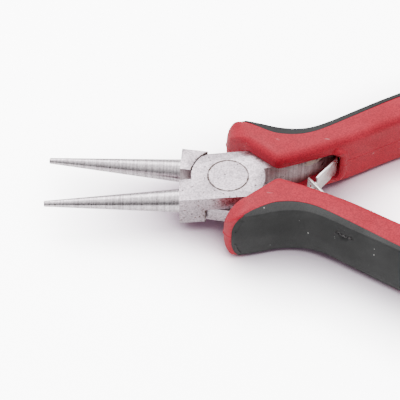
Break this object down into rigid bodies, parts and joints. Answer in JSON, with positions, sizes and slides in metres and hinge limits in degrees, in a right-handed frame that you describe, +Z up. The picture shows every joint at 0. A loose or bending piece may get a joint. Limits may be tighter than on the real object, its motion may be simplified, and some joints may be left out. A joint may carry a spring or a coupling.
{
  "type": "round nose pliers",
  "caption": "Short jewellery pliers with tapered round jaws, a lap joint with a flush rivet, sprung handles and two-part moulded grips, standing open.",
  "frame": {"origin": "on the surface the tool lies on, under the middle of its bounding box", "axes": "+X along the tool from the jaws towards the handles, +Y towards the far handle, +Z up along the pivot's line"},
  "size_m": [0.1236, 0.0708, 0.0144],
  "materials": {
    "ground_steel": "forged steel, ground satin, with fine pits and a little rust on the sides",
    "rivet_steel": "satin steel, ground flush with the joint",
    "spring_steel": "bright spring strip with cut edges",
    "red_grip": "semi-matt moulded plastic with a fine grained surface",
    "dark_inlay": "soft matt rubber"
  },
  "bodies": {
    "near_handle": {"back_lever": "ground_steel", "near_grip_body": "red_grip", "near_grip_inlay": "dark_inlay", "near_spring_rivet": "rivet_steel", "pivot_rivet": "rivet_steel"},
    "far_handle": {"front_lever": "ground_steel", "far_grip_body": "red_grip", "far_grip_inlay": "dark_inlay", "far_spring_rivet": "rivet_steel"},
    "tongue_leaf": {"tongue_leaf_spring": "spring_steel"},
    "slotted_leaf": {"slotted_leaf_spring": "spring_steel"}
  },
  "joints": [
    {"name": "pivot", "type": "hinge", "parent": "near_handle", "child": "far_handle", "pos_m": [-0.02164, 0, 0.0072], "axis": [0, 0, 1], "range_deg": [-15.8, 4], "stiffness_Nm_per_rad": 0.4},
    {"name": "tongue_leaf_flex", "type": "hinge", "parent": "far_handle", "child": "tongue_leaf", "pos_m": [0.00357, 0.01072, 0.0072], "axis": [0, 0, 1], "range_deg": [-16, 4.2]},
    {"name": "slotted_leaf_flex", "type": "hinge", "parent": "near_handle", "child": "slotted_leaf", "pos_m": [0.00357, -0.01072, 0.0072], "axis": [0, 0, 1], "range_deg": [-4.2, 16]}
  ],
  "couplings": [
    {"joint": "tongue_leaf_flex", "follows": "pivot", "ratio": 1},
    {"joint": "slotted_leaf_flex", "follows": "pivot", "ratio": -1}
  ]
}
